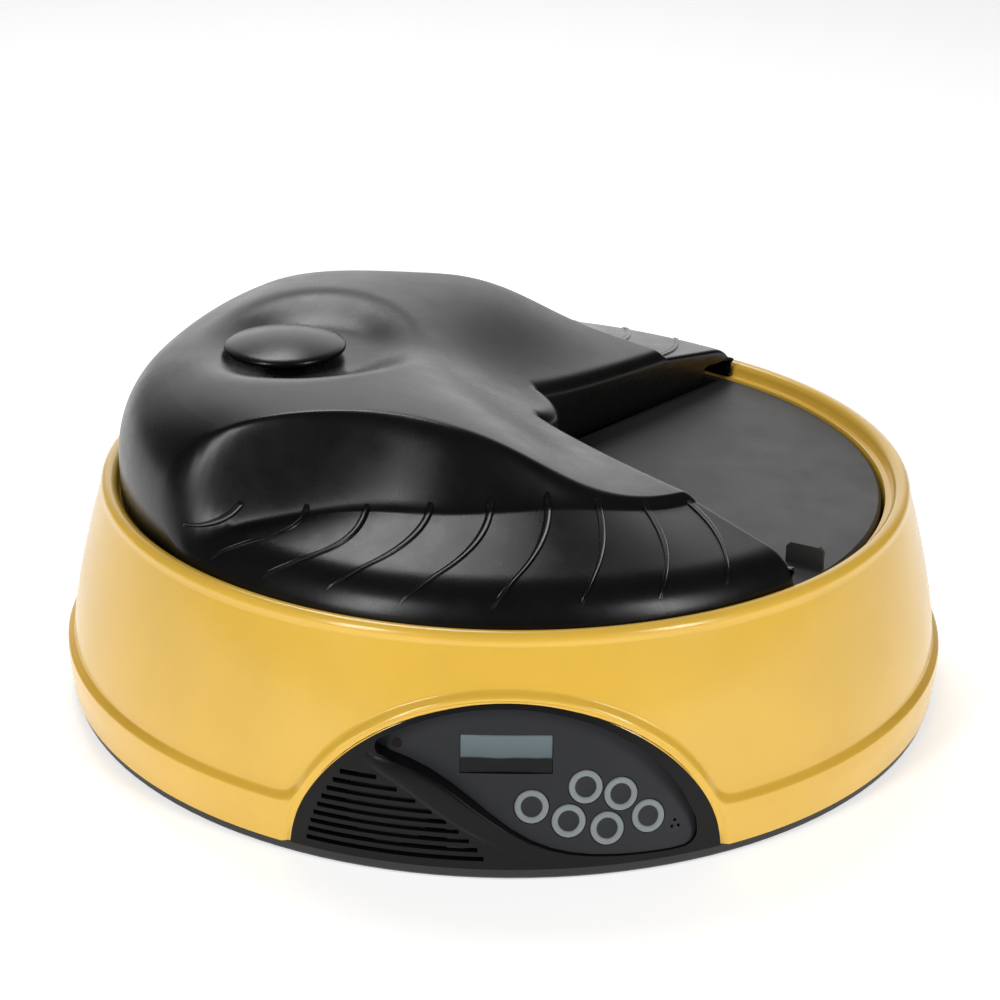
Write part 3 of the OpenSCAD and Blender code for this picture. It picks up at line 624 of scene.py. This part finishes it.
def build_ribs():
    """Thin raised strips on both wings, narrowing towards the rim."""
    section = [
        (-1.0, -0.5), (-1.0, 0.33), (-0.72, 0.6), (-0.4, 0.44),
        (0.4, 0.44), (0.72, 0.6), (1.0, 0.33), (1.0, -0.5),
    ]
    points, faces = [], []
    for side in (1, -1):  # the +Y wing, then the -Y wing
        for rib in RIBS:
            rings = []
            for k in range(RIB_STEPS + 1):
                u = k / RIB_STEPS
                r, t = rib_line(rib, u)
                spot = lid_spot(r, t, side)
                ahead = (lid_spot(*rib_line(rib, u + 0.01), side) - spot).normalized()
                out = (lid_spot(r + 0.3, t, side) - lid_spot(r - 0.3, t, side)).cross(
                    lid_spot(r, t + 0.15, side) - lid_spot(r, t - 0.15, side)
                )
                out = (out if out.z > 0 else -out).normalized()
                across = out.cross(ahead).normalized()
                taper = min(1.0, 0.55 + u / 0.08) * (1 - 0.45 * smooth((u - 0.3) / 0.6))
                width = RIB_HALF_WIDTH * float(taper)
                height = max(0.0, min(1.0, u / 0.03, (1 - u) / 0.04))
                ring = []
                for a, h in section:
                    rise = h * height if h > 0 else h
                    ring.append(len(points))
                    points.append(tuple(spot + across * (a * width) + out * rise))
                rings.append(ring)
            faces.extend(loft(rings))
    make_piece("lid_ribs", points, faces, "lid_assembly", [mat_lid], 60.0)


def build_knob():
    rim, rise, radius = 123.3, 3.7, 21.8
    profile = [(0, 116.5), (3.9, 116.5), (3.9, 119.65), (7, 119.65), (7, 121.6), (19.0, 121.6)]
    profile += [(20.3, 121.25), (20.9, 121.22), (21.4, 121.42), (21.7, 121.8), (21.8, 122.25)]
    profile += [(21.8, 122.6), (21.68, 123.0), (21.4, 123.3)]
    for k in range(1, 13):
        r = 21.2 * (1 - k / 12)
        profile.append((r, rim + rise * (1 - (r / radius) ** 2)))
    points, faces = lathe(profile, 128)
    points = [(x - 79.6, y, z) for x, y, z in points]
    piece = make_piece("lifting_knob", points, faces, "lid_assembly", [mat_lid], 40.0)
    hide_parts("lid_knob")


# ---- housing --------------------------------------------------------------------------------

PANEL_A = 69.3
PANEL_B = 59.2
FLANGE_H = 22.0
SHELL_FOOT = 4.6
FLANK_TOP = 76.2
WINDOW_GAP = 0.25  # between the panel's edge and the shell's window around it
FOOT_R = 160.2
INSIDE_TOP = 71.0
SHELL_WALL = 2.5


def flank(z):
    return 158.6 - 12.3 * (np.maximum(0, z - FLANGE_H) / 54) ** 1.4


def window_height(x, a, b):
    return b * np.sqrt(np.maximum(0, 1 - (x / a) ** 2))


def raised(x, z):
    """How far the flange and the panel's border stand out of the flank."""
    grow = 2.9
    q = np.hypot(x / (PANEL_A + 3.2), z / (PANEL_B + 4.1))
    inside = (1 - q) * (PANEL_B + 4.1) * 0.98
    below = FLANGE_H - 0.3 - z
    k = 5.0
    h = np.clip(0.5 + 0.5 * (inside - below) / k, 0, 1)
    joined = below * (1 - h) + inside * h + k * h * (1 - h)
    share = smooth((joined + 0.5) / 2.3)
    crest = 1.75 + (2.57 - 1.75) * smooth((34 - z) / 16)
    lower = 1.0 * smooth((17 - z) / 13)
    near = (np.hypot(x / (PANEL_A + 0.25), z / (PANEL_B + 0.25)) - 1) * 62
    rounding = 1.3 * (1 - smooth(near / 1.9)) * smooth((near + grow) / grow)
    return share * crest - lower - rounding


def build_housing():
    window_a, window_b = PANEL_A + WINDOW_GAP, PANEL_B + WINDOW_GAP
    edge_phi = math.acos(math.sqrt(1 - (SHELL_FOOT / window_b) ** 2))
    phis = np.linspace(edge_phi, math.pi - edge_phi, 150)
    inner_x = -window_a * np.cos(phis)
    near = np.array(
        [0.15, 0.4, 0.8, 1.3, 1.9, 2.5, 3.1, 3.7, 4.3, 4.9, 5.5, 6.2, 7.0, 8.0, 9.5, 11.5, 14, 17]
    )
    reach = window_a * math.cos(edge_phi)
    xs = np.concatenate([-(reach + near)[::-1], inner_x, reach + near])
    front = np.degrees(np.arcsin(xs / FOOT_R))
    rest = np.linspace(front[-1], 360 + front[0], 150)[1:-1]
    azimuths = np.concatenate([front, rest])  # from the middle of the front, +X side positive
    count = len(azimuths)
    low = np.full(count, SHELL_FOOT)
    inside = slice(len(near), len(near) + len(inner_x))
    low[inside] = window_height(inner_x, window_a, window_b)

    shares = np.concatenate(
        [
            np.linspace(SHELL_FOOT, 19, 12)[:-1],
            np.linspace(19, 23.5, 19)[:-1],
            np.linspace(23.5, 68, 66)[:-1],
            np.linspace(68, FLANK_TOP, 8),
        ]
    )
    shares = (shares - SHELL_FOOT) / (FLANK_TOP - SHELL_FOOT)
    lip = [
        (143.3 + 3 * math.cos(a), 77.2 + 3 * math.sin(a))
        for a in np.linspace(-0.05, math.pi, 18)
    ]
    inner = lip + [
        (139.95, 75.5), (139.7, 74.85), (139.2, LEDGE_Z), (138.0, LEDGE_Z), (137.7, 74.6),
        (137.6, 74.3), (137.6, 60.0), (137.6, 45.0), (137.6, 36.0), (137.2, 34.2),
        (136.2, 33.25), (134.8, 33.0),
        (90.0, 33.0), (40.0, 33.0), (8.6, 33.0), (8.15, 32.85), (8.05, 32.5), (8.05, 30.6),
        (60.0, 30.6), (139.8, 30.6), (139.8, 72.5), (140.9, 72.5),
    ]
    points = []
    a = np.radians(azimuths - 90)
    cos_a, sin_a = np.cos(a), np.sin(a)
    around_x = np.sin(np.radians(azimuths))
    facing = np.cos(np.radians(azimuths)) > 0
    rows = []

    def add_row(radius, height):
        rows.append(list(range(len(points), len(points) + count)))
        points.extend(zip(radius * cos_a, radius * sin_a, height))

    for share in shares:
        z = low + (FLANK_TOP - low) * share
        base = flank(z)
        x = np.where(facing, base * around_x, 1e4)
        add_row(base + raised(x, z), z)
    for r, z in inner:
        add_row(np.full(count, r), np.full(count, z))
    for share in (1.0, 0.8, 0.6, 0.4, 0.2, 0.0):
        z = low + (INSIDE_TOP - low) * share
        add_row(flank(z) - SHELL_WALL, z)
    faces = []
    for lower, upper in zip(rows, rows[1:] + rows[:1]):
        faces.extend(strip(lower, upper, closed=True))
    piece = make_piece(
        "housing_shell", points, faces, "housing", [mat_yellow], 40.0
    )
    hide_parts("upper_housing")


# ---- ridge beside the label -----------------------------------------------------------------

RIDGE_LINE = [
    (-46.0, 40.2), (-41.0, 36.9), (-32.0, 32.2), (-22.8, 25.8),
    (-13.6, 19.4), (-4.4, 14.4), (4.8, 9.8), (13.8, 6.4),
]
RIDGE_HEIGHT = 0.95
RIDGE_STEPS = 72
RIDGE_SMOOTHINGS = 30
RIDGE_WIDEST = 9.0
FRONT_REACH = 159.75  # furthest the fold may stand towards the front


def bezel_skin(z):
    return flank(z) + 0.6 if z > FLANGE_H else 159.2 + 0.035 * (FLANGE_H - z)


def label_edge(x):
    """Height of the lower edge of the eye-shaped recess."""
    return 6.9 + 35.5 / (1 + math.exp((x + 8.5) / 11.3))


def build_ridge():
    """The soft fold of the bezel between the sound slots and the label."""
    line = np.array(RIDGE_LINE)
    along = np.linspace(0, len(line) - 1, RIDGE_STEPS + 1)
    line = np.stack([np.interp(along, range(len(line)), line[:, k]) for k in (0, 1)], axis=1)
    for _ in range(RIDGE_SMOOTHINGS):
        line[1:-1] = (line[:-2] + 2 * line[1:-1] + line[2:]) / 4
    ahead = np.gradient(line, axis=0)
    ahead /= np.linalg.norm(ahead, axis=1)[:, None]
    points, rings = [], []
    for k, (x, z) in enumerate(line):
        u = k / RIDGE_STEPS
        nx, nz = -ahead[k][1], ahead[k][0]
        reach = 2.0
        while z + nz * reach < label_edge(x + nx * reach) and reach < RIDGE_WIDEST:
            reach += 0.05
        room = math.hypot(FRONT_REACH, x) - bezel_skin(z - 1)
        high = min(RIDGE_HEIGHT * float(smooth(u / 0.22) * smooth((1 - u) / 0.3)), room)
        section = [
            (-1.7, -0.3), (-1.7, -0.06), (-1.3, 0.05 * high), (-0.9, 0.32 * high),
            (-0.4, 0.72 * high), (0.1, 0.95 * high), (0.6, high), (1.2, 0.97 * high),
            (0.45 * reach + 0.6, 0.85 * high), (0.7 * reach + 0.2, 0.72 * high),
            (reach - 0.7, 0.62 * high), (reach - 0.3, 0.5 * high), (reach - 0.05, 0.22 * high),
            (reach, -0.06), (reach, -0.3),
        ]
        ring = []
        for across, rise in section:
            px, pz = x + nx * across, z + nz * across
            r = bezel_skin(pz) + rise - 0.04
            ring.append(len(points))
            points.append((px, -math.sqrt(r * r - px * px), pz))
        rings.append(ring)
    make_piece(
        "panel_ridge", points, loft(rings), "housing", [mat_panel], 60.0
    )


# ---- buttons --------------------------------------------------------------------------------

DISH_R = 3.48  # the dark middle of a button, inside its grey ring
STEM_SHORTEST = 1.25


def build_buttons():
    board = on_face(BOARD_AT).translation - BOARD_BACK * outward(BOARD_AT[0])
    for number, spot in enumerate(BUTTONS, start=1):
        place = on_face(spot)
        out = outward(spot[0])
        board_out = outward(BOARD_AT[0])
        reach = (place.translation - board).dot(board_out) / out.dot(board_out)
        deep = max(STEM_SHORTEST, reach - 1.3 - 1.05)  # short of the board and its key switch
        profile = [
            (0, -deep), (1.6, -deep), (1.6, -1.2), (5.1, -1.2), (5.4, -0.9), (5.4, 0.1),
            (5.32, 0.3), (5.15, 0.43), (4.9, 0.49), (3.95, 0.49), (3.7, 0.42), (3.55, 0.28),
            (3.42, 0.13), (3.3, 0.10), (1.5, 0.10), (0, 0.10),
        ]
        points, faces = lathe(profile, 72)
        moved = [tuple(place @ Vector(p)) for p in points]
        tints = []
        for f in faces:
            middle = sum((Vector(points[v]) for v in f), Vector()) / len(f)
            in_dish = middle.z > -0.05 and math.hypot(middle.x, middle.y) < DISH_R
            tints.append(1 if in_dish else 0)
        piece = make_piece(
            f"button_cap_{number}", moved, faces, f"button_{number}",
            [mat_ring, mat_label], 50.0, tints,
        )
        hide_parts(f"button_{number}")


build_lid()
build_ribs()
build_knob()
build_housing()
build_ridge()
build_buttons()


# ---- stage, light and camera ----------------------------------------------------------------

LIGHT_TARGET = (0, 0, 0.05)


def build_floor():
    size, steps = 4.0, 24
    points, faces = [], []
    for i in range(steps + 1):
        for j in range(steps + 1):
            points.append((size * (2 * i / steps - 1), size * (2 * j / steps - 1), 0.0))
    for i in range(steps):
        for j in range(steps):
            k = i * (steps + 1) + j
            faces.append((k, k + steps + 1, k + steps + 2, k + 1))
    mesh = bpy.data.meshes.new("floor")
    mesh.from_pydata(points, [], faces)
    made, tree, bsdf = shader("floor", Roughness=0.7, Specular_IOR_Level=0.2)
    bsdf.inputs["Emission Color"].default_value = (1, 1, 1, 1)
    bsdf.inputs["Emission Strength"].default_value = 0.55
    tree.links.new(
        two_tone(tree, noise(tree, 1.5), (0.90, 0.90, 0.90), (0.92, 0.92, 0.92)),
        bsdf.inputs["Base Color"],
    )
    mesh.materials.append(made)
    floor = bpy.data.objects.new("floor", mesh)
    bpy.context.scene.collection.objects.link(floor)


def build_world():
    """A studio dome: a bright backdrop behind and above the object, dark towards the camera."""
    world = bpy.data.worlds.new("studio")
    bpy.context.scene.world = world
    world.use_nodes = True
    tree = world.node_tree
    back = tree.nodes["Background"]
    place = tree.nodes.new("ShaderNodeTexCoord")
    along = tree.nodes.new("ShaderNodeVectorMath")
    along.operation = "DOT_PRODUCT"
    along.inputs[1].default_value = (0.0, 0.97, 0.26)
    ramp = tree.nodes.new("ShaderNodeValToRGB")
    tree.links.new(place.outputs["Generated"], along.inputs[0])
    tree.links.new(along.outputs["Value"], ramp.inputs["Fac"])
    stops = ((0.0, 0.05), (0.35, 0.05), (0.70, 0.07), (0.86, 0.60), (0.96, 1.6))
    ramp.color_ramp.elements[0].position = stops[0][0]
    ramp.color_ramp.elements[0].color = (stops[0][1],) * 3 + (1,)
    ramp.color_ramp.elements[1].position = stops[-1][0]
    ramp.color_ramp.elements[1].color = (stops[-1][1],) * 3 + (1,)
    for position, level in stops[1:-1]:
        ramp.color_ramp.elements.new(position).color = (level,) * 3 + (1,)
    tree.links.new(ramp.outputs["Color"], back.inputs["Color"])
    back.inputs["Strength"].default_value = 0.9


def softbox(name, at, target, size, power):
    light = bpy.data.lights.new(name, "AREA")
    light.shape = "RECTANGLE"
    light.size, light.size_y = size
    light.energy = power
    lamp = bpy.data.objects.new(name, light)
    bpy.context.scene.collection.objects.link(lamp)
    lamp.location = at
    lamp.rotation_mode = "QUATERNION"
    lamp.rotation_quaternion = (Vector(target) - Vector(at)).to_track_quat("-Z", "Y")


def build_camera():
    """The photograph's camera, fitted to the round rims: angles in radians, distance in metres."""
    distance, dip, pan, tilt, roll = 0.87199, math.radians(26.89), -0.0023, 0.0665, 0.0140
    spot = Vector((0, -distance * math.cos(dip), distance * math.sin(dip)))
    ahead = (-spot).normalized()
    right = Vector((1, 0, 0))
    up = right.cross(ahead)
    look = ahead * math.cos(pan) * math.cos(tilt) + right * math.sin(pan) * math.cos(tilt)
    look = (look + up * math.sin(tilt)).normalized()
    right = look.cross(up).normalized()
    up = right.cross(look)
    side = right * math.cos(roll) + up * math.sin(roll)
    top = -right * math.sin(roll) + up * math.cos(roll)
    camera = bpy.data.cameras.new("camera")
    camera.lens = 82.6
    camera.sensor_width = 36
    camera.clip_start = 0.01
    held = bpy.data.objects.new("camera", camera)
    bpy.context.scene.collection.objects.link(held)
    turn = Matrix.Rotation(math.radians(-0.65), 4, "Z")
    pose = Matrix.Identity(4)
    for column, axis in enumerate((side, top, -look, spot)):
        for row in range(3):
            pose[row][column] = axis[row]
    held.matrix_world = turn @ pose
    bpy.context.scene.camera = held


build_floor()
build_world()
softbox("softbox_left", (-0.95, -1.15, 0.85), LIGHT_TARGET, (0.30, 0.9), 10.5)
softbox("softbox_right", (1.15, -1.10, 0.80), LIGHT_TARGET, (0.30, 0.9), 10.5)
softbox("softbox_top", (-0.25, 0.75, 1.3), LIGHT_TARGET, (0.5, 0.5), 6.0)
build_camera()
bpy.context.scene.view_settings.view_transform = "Standard"
